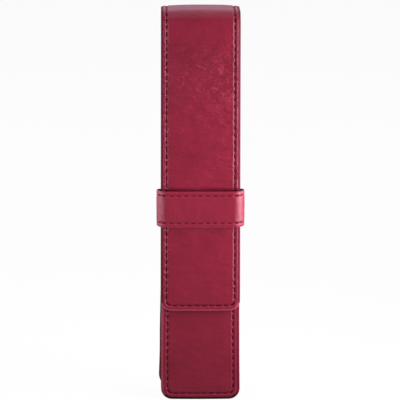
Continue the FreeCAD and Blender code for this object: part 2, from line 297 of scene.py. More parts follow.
@dataclass
class Panel:
    """A flat strip with rounded corners and rows of stitches along its sides and, if sewn, its ends.

    Painted, darkened and worn name edges. Darkened edges carry near-black paint that is partly painted shade,
    and worn edges a pale tone that is partly wear and partly a painted highlight. Pressed and folded are
    bands of lengths along the strip, and creased has lengths with the strength of the creases there.
    """
    half: float
    low: float
    high: float
    radii: tuple
    inset: float
    edge: tuple = PANEL_EDGE
    seam: Seam = PANEL_SEAM
    sewn_ends: bool = True
    end_edge: tuple = None
    painted: tuple = ()
    darkened_and_shaded: tuple = ()
    wear_and_highlight: tuple = ()
    pressed: tuple = None
    folded: tuple = None
    creased: tuple = ((0.0, 1.0),)

    def settle(self, across, along):
        """Moves a grid's corners onto the rounded outline, and gives each point's distance from the edge."""
        side = self.half - np.abs(across)
        ends = [along - self.low, self.high - along]
        rim = side.copy()
        if self.sewn_ends:
            rim = np.minimum(rim, np.minimum(ends[0], ends[1]))
        for place in range(2):
            radius = self.radii[place]
            corner = (side < radius) & (ends[place] < radius)
            if radius == 0 or not corner.any():
                continue
            one = radius - side[corner]
            other = radius - ends[place][corner]
            reach = np.maximum(one, other)
            shrink = reach / np.maximum(np.hypot(one, other), TINY)
            side[corner] = radius - one * shrink
            ends[place][corner] = radius - other * shrink
            rim[corner] = radius - reach
            along = along.copy()
            along[corner] = (self.low + ends[0][corner]) if place == 0 else (self.high - ends[1][corner])
        return np.sign(across) * (self.half - side), along, np.maximum(rim, 0.0)

    def side_run(self):
        """Where the side rows start and end, and their pitch."""
        margins = [max(radius, self.inset) if self.sewn_ends else 0.0 for radius in self.radii]
        start = self.low + margins[0]
        end = self.high - margins[1]
        return start, end, (end - start) / round((end - start) / STITCH_PITCH)

    def end_run(self, place):
        """The half length of an end row, and its pitch."""
        reach = self.half - max(self.radii[place], self.inset)
        return reach, 2 * reach / round(2 * reach / STITCH_PITCH)

    def slots(self, across, along):
        """How near a point is to the slot that a stitch pulls, from 0 between stitches to 1."""
        start, end, pitch = self.side_run()
        phase = (along - start) / pitch
        if self.sewn_ends:
            side = self.half - np.abs(across)
            for place, distance in enumerate((along - self.low, self.high - along)):
                reach, end_pitch = self.end_run(place)
                phase = np.where(distance < side, (across - reach) / end_pitch, phase)
                radius = self.radii[place]
                corner = (side < radius) & (distance < radius)
                turn = np.arctan2(radius - distance, radius - side) / (math.pi / 2)
                phase = np.where(corner, turn, phase)
        near, far = SLOT_REACH_SHARES
        return ease((far - np.abs(phase - np.floor(phase) - 0.5)) / (far - near))

    def relief(self, across, along, rim):
        """Depth of the rounded edge, of the leather drawn down to the seam, and of its stitches' slots."""
        end = ease((self.half - np.abs(across) - self.high + along) / END_BLEND + 0.5)
        reach, drop = [side + (tip - side) * end for side, tip in zip(self.edge, self.end_edge or self.edge)]
        drop = drop * (1 - FOLD_FIRM_SHARE * near_band(along, self.folded, FOLD_FIRM_REACH))
        roll = np.clip(1 - rim / reach, 0, 1)
        edge = drop * (1 - np.sqrt(1 - roll ** 2))
        past = rim - self.inset
        seam = self.seam
        lips = seam.outer_lip * np.exp(-((past + OUTER_LIP_REACH) / LIP_SPREAD) ** 2)
        lips += seam.inner_lip * np.exp(-((past - INNER_LIP_REACH) / LIP_SPREAD) ** 2)
        pillow = seam.pillow * np.exp(-np.clip(past, 0, None) / PILLOW_REACH)
        groove = seam.bridge + (seam.slot - seam.bridge) * self.slots(across, along)
        return edge + groove * self.groove(rim) + pillow - lips

    def groove(self, rim):
        """How far a point lies down in the seam groove, from 0 to 1."""
        spread = np.where(rim < self.inset, self.seam.outer, self.seam.inner)
        return np.exp(-((rim - self.inset) / spread) ** 2)

    def press_and_shade(self, along):
        """How far a point lies in the band that another piece has pressed, from 0 to 1."""
        return near_band(along, self.pressed, PRESS_REACH)

    def strap_edge_shade(self, along):
        """Painted shade along the two edges of the pressed band, where the strap's shadow falls on the
        leather, from 0 to 1.
        """
        if self.pressed is None:
            return np.zeros_like(along)
        low, high = self.pressed
        return self.press_and_shade(along) * (1 - ease(np.minimum(along - low, high - along) / PRESS_REACH))

    def crease(self, along):
        """How strongly the leather is creased at a length along the strip."""
        lengths, shares = zip(*self.creased)
        return np.interp(along, lengths, shares)

    def edge_distance(self, across, along, edges):
        """Distance from the nearest of some edges, at most half the width.

        The sides end at the high end's corners, the tip goes on round them, and the line lies in from a side.
        """
        side = self.half - np.abs(across)
        end = self.high - along
        distances = {"side": np.maximum(side, self.radii[1] - end), "under": self.half + across,
                     "over": self.half - across, "low": along - self.low, "high": end,
                     "tip": np.maximum(np.minimum(side, end), TIP_FADE_SHARE * end),
                     "line": LINE_SHARPNESS * np.abs(self.half + across - LINE_INSET)}
        return np.min([distances[edge] for edge in edges] + [np.full_like(across, self.half)], axis=0)

    def side_stitches(self, low, high):
        """Places and headings of the stitches of both side rows between two lengths."""
        start, end, pitch = self.side_run()
        stitches = []
        for index in range(round((end - start) / pitch)):
            along = start + (index + 0.5) * pitch
            if low <= along < high:
                for side in (-1, 1):
                    stitches.append((side * (self.half - self.inset), along, math.pi / 2))
        return stitches

    def end_stitches(self, place):
        """Places and headings of the stitches of an end row and of its two corners."""
        reach, pitch = self.end_run(place)
        edge, inward = ((self.low, 1), (self.high, -1))[place]
        stitches = []
        for index in range(round(2 * reach / pitch)):
            stitches.append(((index + 0.5) * pitch - reach, edge + inward * self.inset, 0.0))
        turn = self.radii[place] - self.inset
        if turn > STITCH_RADIUS:
            slope = turn * math.sqrt(0.5)
            centre = edge + inward * self.radii[place]
            for side in (-1, 1):
                heading = side * inward * math.pi / 4
                stitches.append((side * (reach + slope), centre - inward * slope, heading))
        return stitches


def stops(low, high, step, low_steps=(0.0,), high_steps=(0.0,), extra=()):
    """Grid lines from low to high: set steps in from each end, even steps between, and any extra ones."""
    start = low + max(low_steps)
    end = high - max(high_steps)
    even = np.linspace(start, end, max(2, int(math.ceil((end - start) / step)) + 1))
    lines = np.concatenate([low + np.array(low_steps), even, high - np.array(high_steps),
                            [line for line in extra if start < line < end]])
    lines = np.sort(lines)
    return lines[np.concatenate([[True], np.diff(lines) > LEAST_STEP])]


def seam_steps(inset):
    """Grid steps in from an edge that carry its roll and its seam groove."""
    return tuple(share * inset for share in SEAM_STEP_SHARES)


def waves(across, along, rates, seed):
    """A smooth field from -1 to 1 over the flat leather."""
    field = [noise.noise(Vector((a * rates[0], b * rates[1], seed)))
             for a, b in zip(across.ravel(), along.ravel())]
    return np.array(field).reshape(across.shape)


def softness(across, along, rim, seed):
    """Shallow swells and creases that fade out towards the seam."""
    clear = np.clip((rim - SOFT_START) / SOFT_RUN, 0, 1)
    return clear * (SWELL * waves(across, along, SWELL_WAVES, seed)
                    + CREASE * waves(across, along, CREASE_WAVES, seed + CREASE_SEED_STEP))


def make_piece(name, points, faces, flat, materials, kinds=None, fields=None):
    """A closed mesh with smooth shading, flat-leather coordinates and fields of values at its points."""
    mesh = bpy.data.meshes.new(name)
    mesh.from_pydata(points.reshape(-1, 3).tolist(), [], faces)
    for material in materials:
        mesh.materials.append(material)
    if kinds is not None:
        mesh.polygons.foreach_set("material_index", np.array(kinds, np.int32))
    corners = np.zeros(len(mesh.loops), np.int32)
    mesh.loops.foreach_get("vertex_index", corners)
    layer = mesh.uv_layers.new(name=FLAT_MAP)
    layer.data.foreach_set("uv", (flat[corners] * FLAT_UNIT).astype(np.float32).ravel())
    for label, values in (fields or {}).items():
        field = mesh.attributes.new(label, "FLOAT", "POINT")
        field.data.foreach_set("value", values.astype(np.float32))
    mesh.shade_smooth()
    mesh.set_sharp_from_angle(angle=SHARP_ANGLE)
    if signed_volume(mesh) < 0:
        mesh.flip_normals()
    piece = bpy.data.objects.new(name, mesh)
    bpy.context.scene.collection.objects.link(piece)
    return piece


def signed_volume(mesh):
    """Volume inside a closed mesh, below zero where its faces look inward."""
    solid = bmesh.new()
    solid.from_mesh(mesh)
    volume = solid.calc_volume(signed=True)
    solid.free()
    return volume


def sheet(name, place, panel, columns, rows, face, back, materials):
    """A closed sheet over a grid: its face, its painted edge and its back, laid where place puts them."""
    across, along = np.meshgrid(columns, rows)
    paint, dark_and_shade, wear_and_highlight_distance = [panel.edge_distance(across, along, edges).ravel()
                         for edges in (panel.painted, panel.darkened_and_shaded, panel.wear_and_highlight)]
    across, along, rim = panel.settle(across, along)
    face_points = place(across, along, face(across, along, rim))
    back_points = place(across, along, back(across, along, rim))
    height, width = across.shape
    count = height * width
    index = np.arange(count).reshape(height, width)
    cells = np.stack([index[:-1, :-1], index[:-1, 1:], index[1:, 1:], index[1:, :-1]], axis=-1).reshape(-1, 4)
    loop = np.concatenate([index[0, :-1], index[:-1, -1], index[-1, :0:-1], index[:0:-1, 0]])
    ahead = np.roll(loop, -1)
    walls = np.stack([loop, loop + count, ahead + count, ahead], axis=-1)
    faces = np.concatenate([cells, cells[:, ::-1] + count, walls]).tolist()
    # Faces near painted edges take the edge paint, and faces near darkened edges the near-black paint, partly
    # painted shade.
    painted = np.where(paint[cells].max(axis=1) < PAINT_SHARE * panel.inset, PAINTED, FACE)
    painted = np.where(dark_and_shade[cells].max(axis=1) < PAINT_SHARE * panel.inset, WALL, painted)
    kinds = np.concatenate([painted, np.full(len(cells), BACK), np.full(len(walls), WALL)])
    points = np.concatenate([face_points.reshape(-1, 3), back_points.reshape(-1, 3)])
    flat = np.tile(np.stack([across.ravel(), along.ravel()], axis=-1), (2, 1))
    fields = {
        "rim": np.minimum(paint, dark_and_shade) * FLAT_UNIT,
        "wear_and_highlight_distance": wear_and_highlight_distance * FLAT_UNIT,
        # The strap's shadow, painted along the edges of its band.
        "press_and_shade": panel.strap_edge_shade(along),
        "crease": panel.crease(along),
        "groove": panel.groove(rim) * panel.slots(across, along),
    }
    fields = {label: np.tile(values.ravel(), 2) for label, values in fields.items()}
    return make_piece(name, points, faces, flat, materials, kinds, fields)


def sew(name, place, base, stitches, material):
    """Two-ply stitches that rise out of their holes, lie slanted in the groove and dive again."""
    turn = np.arange(STITCH_SIDES) * 2 * math.pi / STITCH_SIDES
    share = np.linspace(-1, 1, STITCH_RINGS)[:, None]
    lobes = 1 + PLY_BULGE_SHARE * np.cos(2 * turn[None, :] - 2 * math.pi * PLY_TURNS * share)
    radius = STITCH_RADIUS * lobes * (1 - STITCH_TAPER_SHARE * share ** 2)
    run = share * STITCH_LENGTH / 2 + 0 * turn
    aside = radius * np.cos(turn)
    depth = STITCH_SINK + STITCH_DIVE * share ** 4 - radius * np.sin(turn)
    size = STITCH_RINGS * STITCH_SIDES
    index = np.arange(size).reshape(STITCH_RINGS, STITCH_SIDES)
    onward = np.roll(index, -1, axis=1)
    tube = np.stack([index[:-1], onward[:-1], onward[1:], index[1:]], axis=-1).reshape(-1, 4).tolist()
    tube.append(index[0, ::-1].tolist())
    tube.append(index[-1].tolist())
    points, faces, flat = [], [], []
    for number, (across, along, heading) in enumerate(stitches):
        lean = heading + STITCH_SLANT * (1 + SLANT_CHANGE_SHARE * math.sin(SLANT_CHANGE_RATE * number))
        one = across + run * math.cos(lean) - aside * math.sin(lean)
        two = along + run * math.sin(lean) + aside * math.cos(lean)
        points.append(place(one, two, depth + base(across, along)).reshape(-1, 3))
        flat.append(np.stack([(run + number * STITCH_PITCH).ravel(), aside.ravel()], axis=-1))
        faces.extend([[corner + number * size for corner in face] for face in tube])
    return make_piece(name, np.concatenate(points), faces, np.concatenate(flat), [material])


def level(depth):
    """A face or back at one depth."""
    return lambda across, along, rim: np.full_like(across, depth)


def raised(depth, shape):
    """A face or back that follows a shape at a depth."""
    return lambda across, along, rim: depth + shape(across, along)


def sewn_face(panel, base, seed):
    """A panel's face: its base shape, the relief of its edges and seams, and the leather's softness."""
    def face(across, along, rim):
        return base(across, along) + panel.relief(across, along, rim) - softness(across, along, rim, seed)
    return face


def seam_floor(panel, base):
    """Depth of the leather that a panel's stitches lie on."""
    return lambda across, along: base(across, along) + panel.seam.pillow


def stand_in(node):
    """Hides the solid whose place a dressed piece takes."""
    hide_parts(node)


def fit(piece, node):
    """Puts a piece in a solid's place on the sleeve."""
    stand_in(node)
    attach(piece, "sleeve_body")


# Finishes. A pattern is noise over the flat leather: its waves per millimetre, detail and stretch.
Pattern = namedtuple("Pattern", "scale detail stretch", defaults=(4.0, (1.0, 1.0, 1.0)))
CLOUDS = Pattern(0.10, 5.0)
FLECKS = Pattern(0.42)
SATIN = Pattern(0.50)
FOLDS = Pattern(0.36, stretch=(0.5, 1.0, 1.0))
PEBBLES = Pattern(2.3)
PORES = Pattern(7.0, 3.0)
STREAKS = Pattern(0.90)
NAP = Pattern(2.6, 6.0, (1.0, 0.7, 1.0))
BRUSHING = Pattern(0.18, 3.0)
FIBRES = Pattern(3.0, stretch=(2.5, 0.8, 1.0))
PULP = Pattern(0.90)

# The part of a pattern's range that shows.
NOISE_RANGE = (0.3, 0.7)
CLOUD_RANGE = (0.34, 0.66)
FLECK_RANGE = (0.40, 0.70)
STREAK_RANGE = (0.35, 0.70)
BRUSH_RANGE = (0.35, 0.65)
FULL_RANGE = (0.0, 1.0)

# Where on a sheet the leather is darker: a field's range, and the shares of the darker tone at its two ends.
# Next to painted edges the tone is paint, in the stitch slots it is dye and painted shade, and along the
# edges of the strap's band it is painted shade, the strap's shadow on the flap.
DARK_DYES_AND_SHADE = {
    "groove": ((0.25, 1.0), (0.0, 0.70)),
    "rim": ((0.85, 1.1), (0.35, 0.0)),
    "press_and_shade": (FULL_RANGE, (0.0, 0.62)),
}
FLECK_SHARES = (0.0, 0.55)
NAP_SHARES = (0.0, 0.5)
WEAR_AND_HIGHLIGHT_SHARES = (0.8, 0.0)
WEAR_AND_HIGHLIGHT_RANGE = (0.60, 1.20)
STRAP_WEAR_AND_HIGHLIGHT_RANGE = (0.15, 0.45)

NOISE_ROUGHNESS = 0.55
PEBBLE_SMOOTHNESS = 0.7
GROOVE_ROUGHNESS = 0.35
SATIN_CHANGES = (-0.05, 0.06)
GLOSS_TINT = (1.0, 0.68, 0.85, 1.0)
# The pale tone of worn edges, partly wear and partly a painted highlight.
WEAR_AND_HIGHLIGHT_TONE = (0.580, 0.062, 0.135, 1.0)
SUEDE_SHEEN = (0.450, 0.080, 0.130, 1.0)
DEEP_PULP = (0.22, 0.20, 0.17, 1.0)
PALE_PULP = (0.34, 0.31, 0.27, 1.0)


def new_material(name):
    made = bpy.data.materials.new(name)
    made.use_nodes = True
    return made, made.node_tree, made.node_tree.nodes["Principled BSDF"]


def plug(tree, node, inputs):
    """Sets or links a node's inputs by name or number."""
    for key, value in inputs.items():
        if isinstance(value, bpy.types.NodeSocket):
            tree.links.new(value, node.inputs[key])
        else:
            node.inputs[key].default_value = value


def add(tree, kind, inputs=None, **settings):
    """A node with its settings and its inputs."""
    made = tree.nodes.new(kind)
    for key, value in settings.items():
        setattr(made, key, value)
    plug(tree, made, inputs or {})
    return made


def compute(tree, operation, *values):
    return add(tree, "ShaderNodeMath", dict(enumerate(values)), operation=operation).outputs[0]


def flat_coordinates(tree, pattern):
    flat = add(tree, "ShaderNodeUVMap", uv_map=FLAT_MAP).outputs["UV"]
    return add(tree, "ShaderNodeMapping", {"Vector": flat, "Scale": pattern.stretch}).outputs["Vector"]


def cloud(tree, pattern):
    return add(tree, "ShaderNodeTexNoise", {
        "Vector": flat_coordinates(tree, pattern), "Scale": pattern.scale, "Detail": pattern.detail,
        "Roughness": NOISE_ROUGHNESS,
    }).outputs["Fac"]


def spread(tree, value, given, wanted=FULL_RANGE):
    """A value carried over from a given range to a wanted one, and held inside it."""
    return add(tree, "ShaderNodeMapRange", {
        "Value": value, "From Min": given[0], "From Max": given[1], "To Min": wanted[0], "To Max": wanted[1],
    }, clamp=True).outputs["Result"]


def tint(tree, share, one, other):
    """A colour that goes from one to the other with a share."""
    mix = add(tree, "ShaderNodeMix", {0: share, 6: one, 7: other}, data_type="RGBA")
    return mix.outputs[2]


def bump(tree, height, distance, strength, **normal):
    return add(tree, "ShaderNodeBump", {
        "Height": height, "Distance": distance, "Strength": strength, **normal,
    }).outputs["Normal"]


def attribute(tree, name):
    return add(tree, "ShaderNodeAttribute", attribute_name=name).outputs["Fac"]


def leather(name, light, deep, dye_and_shade_tone, roughness, gloss, crease, wear_and_highlight=WEAR_AND_HIGHLIGHT_RANGE):
    """Smooth dyed leather: cloudy dye, fine grain and soft creases, darker seams with dye and painted shade,
    the strap's shadow painted along its band, and paler edges that are partly worn and partly a painted
    highlight.
    """
    made, tree, shader = new_material(name)
    dye = tint(tree, spread(tree, cloud(tree, CLOUDS), CLOUD_RANGE), deep, light)
    dye = tint(tree, spread(tree, cloud(tree, FLECKS), FLECK_RANGE, FLECK_SHARES), dye, deep)
    # Darker next to painted edges, and with painted shade in the stitch slots and along the strap's band.
    for field, (given, shares) in DARK_DYES_AND_SHADE.items():
        dye = tint(tree, spread(tree, attribute(tree, field), given, shares), dye, dye_and_shade_tone)
    # Paler along worn edges: partly wear, partly a painted highlight.
    dye = tint(tree, spread(tree, attribute(tree, "wear_and_highlight_distance"), wear_and_highlight, WEAR_AND_HIGHLIGHT_SHARES), dye, WEAR_AND_HIGHLIGHT_TONE)
    satin_range = [roughness + change for change in SATIN_CHANGES]
    satin = spread(tree, cloud(tree, SATIN), NOISE_RANGE, satin_range)
    folds = compute(tree, "SUBTRACT", cloud(tree, FOLDS), 0.5)
    folds = compute(tree, "MULTIPLY", folds, attribute(tree, "crease"))
    pebbles = add(tree, "ShaderNodeTexVoronoi", {
        "Vector": flat_coordinates(tree, PEBBLES), "Scale": PEBBLES.scale, "Smoothness": PEBBLE_SMOOTHNESS,
    }, feature="SMOOTH_F1").outputs["Distance"]
    grain = bump(tree, folds, distance=crease, strength=0.85)
    grain = bump(tree, pebbles, distance=0.00005, strength=0.2, Normal=grain)
    grain = bump(tree, cloud(tree, PORES), distance=0.00002, strength=0.2, Normal=grain)
    plug(tree, shader, {
        "Base Color": dye, "Normal": grain, "Specular IOR Level": gloss, "Specular Tint": GLOSS_TINT,
        "Roughness": compute(tree, "MULTIPLY_ADD", attribute(tree, "groove"), GROOVE_ROUGHNESS, satin),
    })
    return made


def matt(tree, shader, tone, pattern, roughness, height, strength, gloss):
    """A plain surface whose roughness and relief follow one pattern."""
    plug(tree, shader, {
        "Base Color": tone, "Roughness": spread(tree, pattern, NOISE_RANGE, roughness),
        "Normal": bump(tree, pattern, height, strength), "Specular IOR Level": gloss,
    })


def edge_paint(name, deep, light):
    """Burnished, painted cut edge, darker than the leather."""
    made, tree, shader = new_material(name)
    streak = cloud(tree, STREAKS)
    tone = tint(tree, spread(tree, streak, STREAK_RANGE), deep, light)
    matt(tree, shader, tone, streak, roughness=(0.55, 0.7), height=0.00006, strength=0.4, gloss=0.12)
    return made


def suede(name, light, deep):
    """Soft napped lining."""
    made, tree, shader = new_material(name)
    nap = cloud(tree, NAP)
    tone = tint(tree, spread(tree, cloud(tree, BRUSHING), BRUSH_RANGE), deep, light)
    tone = tint(tree, spread(tree, nap, NOISE_RANGE, NAP_SHARES), tone, deep)
    matt(tree, shader, tone, nap, roughness=(0.82, 0.98), height=0.00012, strength=0.6, gloss=0.1)
    plug(tree, shader, {"Sheen Weight": 0.25, "Sheen Roughness": 0.5, "Sheen Tint": SUEDE_SHEEN})
    return made


def yarn(name, deep, light):
    """Waxed two-ply thread, a shade darker than the leather."""
    made, tree, shader = new_material(name)
    fibre = cloud(tree, FIBRES)
    tone = tint(tree, spread(tree, fibre, NOISE_RANGE), deep, light)
    matt(tree, shader, tone, fibre, roughness=(0.5, 0.7), height=0.00006, strength=0.5, gloss=0.06)
    return made


def pasteboard():
    """Grey stiffener board, closed in between leather and lining."""
    made, tree, shader = new_material("board")
    place = add(tree, "ShaderNodeTexCoord").outputs["Object"]
    pulp = add(tree, "ShaderNodeTexNoise", {
        "Vector": place, "Scale": PULP.scale * FLAT_UNIT, "Detail": PULP.detail,
    }).outputs["Fac"]
    plug(tree, shader, {
        "Base Color": tint(tree, pulp, DEEP_PULP, PALE_PULP),
        "Roughness": spread(tree, pulp, NOISE_RANGE, (0.85, 0.97)),
    })
    return made


BODY_LEATHER = leather(
    "body_leather", light=(0.315, 0.0155, 0.0440, 1.0), deep=(0.250, 0.0110, 0.0320, 1.0),
    dye_and_shade_tone=(0.105, 0.0033, 0.0150, 1.0), roughness=0.33, gloss=0.42, crease=0.00095,
)
STRAP_FINISH = leather(
    "strap_leather", light=(0.315, 0.0120, 0.0400, 1.0), deep=(0.255, 0.0090, 0.0300, 1.0),
    dye_and_shade_tone=(0.150, 0.0055, 0.0200, 1.0), roughness=0.39, gloss=0.58, crease=0.00030,
    wear_and_highlight=STRAP_WEAR_AND_HIGHLIGHT_RANGE,
)
GUSSET_FINISH = leather(
    "gusset_leather", light=(0.250, 0.0100, 0.0280, 1.0), deep=(0.190, 0.0070, 0.0200, 1.0),
    dye_and_shade_tone=(0.080, 0.0040, 0.0100, 1.0), roughness=0.46, gloss=0.40, crease=0.00012,
)
EDGE = edge_paint("edge_paint", (0.135, 0.005, 0.025, 1.0), (0.190, 0.008, 0.035, 1.0))
# Near-black paint on the cut edges and feet, partly painted shade: it stands in for the shade at the feet, at
# the back's edges and on the strap's top edge.
DARK_EDGE_AND_SHADE = edge_paint("dark_edge_paint_and_shade", (0.030, 0.001, 0.003, 1.0), (0.060, 0.002, 0.006, 1.0))
LINING = suede("lining", (0.110, 0.012, 0.020, 1.0), (0.060, 0.006, 0.011, 1.0))
STRAP_BACKING = suede("strap_backing", (0.020, 0.006, 0.008, 1.0), (0.010, 0.003, 0.004, 1.0))
THREAD = yarn("thread", (0.125, 0.0035, 0.0170, 1.0), (0.235, 0.0095, 0.0340, 1.0))
STRAP_THREAD = yarn("strap_thread", (0.130, 0.0045, 0.0180, 1.0), (0.220, 0.0090, 0.0320, 1.0))
BOARD_FINISH = pasteboard()
BODY_FINISHES = [BODY_LEATHER, EDGE, LINING, DARK_EDGE_AND_SHADE]
LINING_FINISHES = [LINING, LINING, LINING, DARK_EDGE_AND_SHADE]


# The cover, from the foot of the back over the fold to the flap's end.
cover_path = BentPath([(BACK_FACE, 0.0), (BACK_FACE, TOP), (FLAP_FACE, TOP), (FLAP_FACE, FLAP_END)],
                      [FOLD_RADIUS, FOLD_FRONT_RADIUS])
BACK_END = TOP - FOLD_RADIUS
FOLD_START = BACK_END + FOLD_RADIUS * math.pi / 2
FOLD_LENGTH = BACK_FACE - FLAP_FACE - FOLD_RADIUS - FOLD_FRONT_RADIUS
FOLD_END = FOLD_START + FOLD_LENGTH


def flap_length(height):
    """Length along the cover at a height on the flap."""
    return cover_path.length - (height - FLAP_END)


# The back's foot is painted near-black, partly as painted shade, the flap's tip has a pale line that is
# partly wear and partly a painted highlight, and the strap's shadow is painted along the band it presses.
cover = Panel(
    COVER_HALF, 0.0, cover_path.length, (BACK_RADIUS, FLAP_RADIUS), COVER_INSET, end_edge=FLAP_END_EDGE,
    painted=("side",), darkened_and_shaded=("low",), wear_and_highlight=("tip",), folded=(BACK_END, FOLD_END),
    pressed=(flap_length(STRAP_TOP), flap_length(STRAP_LOW + PRESS_LEAD)),
    creased=[(BACK_END, 1.0), (FOLD_START, FOLD_CREASE)] + [
        (flap_length(height), share) for height, share in FLAP_CREASES],
)


def back_lean(height):
    """How far the soft back leans over at a height, most of all at its foot."""
    lean = BACK_LEAN * ease((BACK_LEAN_TOP - height) / BACK_LEAN_RUN)
    return lean + FOOT_LEAN * ease(1 - height / FOOT_HEIGHT)


def front_give(across, height):
    """How far the front panel's foot flares and leans over at a place."""
    flare = FRONT_FLARE * ease(1 - height / FLARE_HEIGHT) * across / FRONT_HALF
    return flare + FRONT_LEAN * ease(1 - height / FOOT_HEIGHT)


def on_cover(across, along, depth):
    """The cover narrows a little towards the fold, and the back leans at its foot."""
    y, z = cover_path.points(along, depth)
    from_fold = np.abs(along - (FOLD_START + FOLD_END) / 2) / (cover_path.length / 2)
    narrow = 1 - FOLD_TAPER / COVER_HALF * np.clip(1 - from_fold, 0, 1)
    lean = np.where(along < BACK_END, back_lean(z), 0.0)
    return np.stack([across * narrow - lean, y, z], axis=-1)


def crown(across, half):
    """Depth of a panel that stands a little proud in the middle and falls back to its edges."""
    return (CROWN_RISE + CROWN_FALL) * (across / half) ** 2 - CROWN_RISE


def cover_base(across, along):
    """Back and flap are crowned, and the fold rounds down towards its two ends."""
    rise = ease((along - FOLD_START) / CROWN_FADE + 1) * ease((FOLD_END - along) / CROWN_FADE + 1)
    return rise * FOLD_SAG * (across / COVER_HALF) ** 2 + (1 - rise) * crown(across, COVER_HALF)


def cover_shape(across, along):
    """The cover's base shape, with the band that the strap has pressed into the flap."""
    return cover_base(across, along) + PRESS_DEPTH * cover.press_and_shade(along)


def over_board(across, height):
    """The lining's rise over a board, from 0 on the leather to the board's thickness."""
    clear = np.minimum(BOARD_HALF - np.abs(across), np.minimum(height - BOARD_LOW, BOARD_TOP - height))
    return BOARD * ease(clear / RISE_WALL + 1)


def lined_cover(across, along):
    return over_board(across, along) + cover_base(across, along)


RISE_STOPS = [BOARD_TOP, BOARD_TOP + RISE_WALL / 2, BOARD_TOP + RISE_WALL]


def rise_steps(half):
    """Grid steps in from a panel's side that carry its corner and the rise over the board."""
    return ROUND_STEPS + (half - BOARD_HALF - RISE_WALL, half - BOARD_HALF)


def dress_cover(name, low, high, leather_node, lining_node):
    """Leather and lining of one length of the cover."""
    from_foot = low == 0
    to_tip = high == cover_path.length
    seam = seam_steps(COVER_INSET)
    columns = stops(-COVER_HALF, COVER_HALF, ROW_STEP if from_foot or to_tip else COLUMN_STEP, seam, seam)
    bends = cover_path.bend_stops(ARC_STEP)
    rows = stops(low, high, ROW_STEP, seam if from_foot else CUT_STEPS, seam if to_tip else CUT_STEPS, bends)
    skin = sheet(name, on_cover, cover, columns, rows, sewn_face(cover, cover_shape, COVER_SEED),
                 raised(COVER_LEATHER, cover_base), BODY_FINISHES)
    columns = stops(-COVER_HALF, COVER_HALF, LINING_STEP, rise_steps(COVER_HALF), rise_steps(COVER_HALF))
    foot = ROUND_STEPS + (BOARD_LOW, BOARD_LOW - RISE_WALL) if from_foot else (0.0,)
    rows = stops(low, high, LINING_STEP, foot, ROUND_STEPS if to_tip else (0.0,), bends + RISE_STOPS)
    inside = sheet(name + "_lining", on_cover, cover, columns, rows,
                   raised(FLAP_STACK, lined_cover), raised(COVER_LEATHER, lined_cover), LINING_FINISHES)
    stand_in(leather_node)
    stand_in(lining_node)
    return [skin, inside]


FOLD_CUT = FOLD_END - FOLD_LENGTH * FOLD_CUT_SHARE
UPPER_CUT = flap_length((HINGES["flap_bow"] + HINGES["flap_knee"]) / 2)
LOWER_CUT = flap_length((HINGES["flap_knee"] + HINGES["flap_tip_draw"]) / 2)

for piece in dress_cover("cover_shell", 0.0, FOLD_CUT, "cover_back", "cover_lining"):
    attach(piece, "sleeve_body")

cover_row = seam_floor(cover, cover_shape)
back_stitches = cover.side_stitches(0.0, BACK_END) + cover.end_stitches(0)
fold_stitches = cover.side_stitches(BACK_END, FOLD_CUT)
fit(sew("back_seam_stitches", on_cover, cover_row, back_stitches, THREAD), "back_seam_thread")
fit(sew("fold_stitches", on_cover, cover_row, fold_stitches, THREAD), "fold_thread")

FLAP_LENGTHS = (
    ("flap_root", "flap_upper", FOLD_CUT, UPPER_CUT, "sleeve_body", "flap_bow", ROOT_BEND),
    ("flap_waist", "flap_middle", UPPER_CUT, LOWER_CUT, "flap_upper_body", "flap_knee", KNEE_BEND),
    ("flap_tongue", "flap_tip", LOWER_CUT, cover_path.length, "flap_middle_body", "flap_tip_draw", TIP_BEND),
)
for name, node, low, high, body_above, hinge, reach in FLAP_LENGTHS:
    pieces = dress_cover(name, low, high, node, node + "_lining")
    stitches = cover.side_stitches(low, high)
    if node == "flap_tip":
        stitches += cover.end_stitches(1)
    row = sew(name + "_stitches", on_cover, cover_row, stitches, THREAD)
    stand_in(node + "_thread")
    for piece in pieces + [row]:
        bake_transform(piece)


# The front panel.
# The foot is painted near-black, partly as painted shade, and a pale line in from the left side is partly
# wear and partly a painted highlight.
front = Panel(FRONT_HALF, 0.0, FRONT_TOP, (BOTTOM_RADIUS, MOUTH_RADIUS), FRONT_INSET,
              painted=("over", "high"), darkened_and_shaded=("low",), wear_and_highlight=("line",), creased=[(0.0, FRONT_CREASE)])


def on_front(across, along, depth):
    return np.stack([across + front_give(across, along), FRONT_FACE + depth, along], axis=-1)


def front_base(across, along):
    return crown(across, FRONT_HALF)


seam = seam_steps(FRONT_INSET)
columns = stops(-FRONT_HALF, FRONT_HALF, ROW_STEP, seam, seam)
rows = stops(0.0, FRONT_TOP, ROW_STEP, seam, seam)
front_shell = sheet("front_shell", on_front, front, columns, rows, sewn_face(front, front_base, FRONT_SEED),
                    level(FRONT_LEATHER), BODY_FINISHES)
fit(front_shell, "front_panel")

steps = rise_steps(FRONT_HALF)
columns = stops(-FRONT_HALF, FRONT_HALF, LINING_STEP, steps, steps)
rows = stops(0.0, FRONT_TOP, LINING_STEP, steps, ROUND_STEPS[:3], RISE_STOPS)
front_lining = sheet("front_shell_lining", on_front, front, columns, rows,
                     raised(FRONT_STACK - BOARD, over_board), raised(FRONT_LEATHER, over_board),
                     LINING_FINISHES)
fit(front_lining, "front_lining")

front_row = seam_floor(front, front_base)
front_stitches = front.side_stitches(0.0, FRONT_TOP) + front.end_stitches(0)
fit(sew("front_seam_stitches", on_front, front_row, front_stitches, THREAD), "front_seam_thread")
fit(sew("mouth_stitches", on_front, front_row, front.end_stitches(1), THREAD), "mouth_thread")


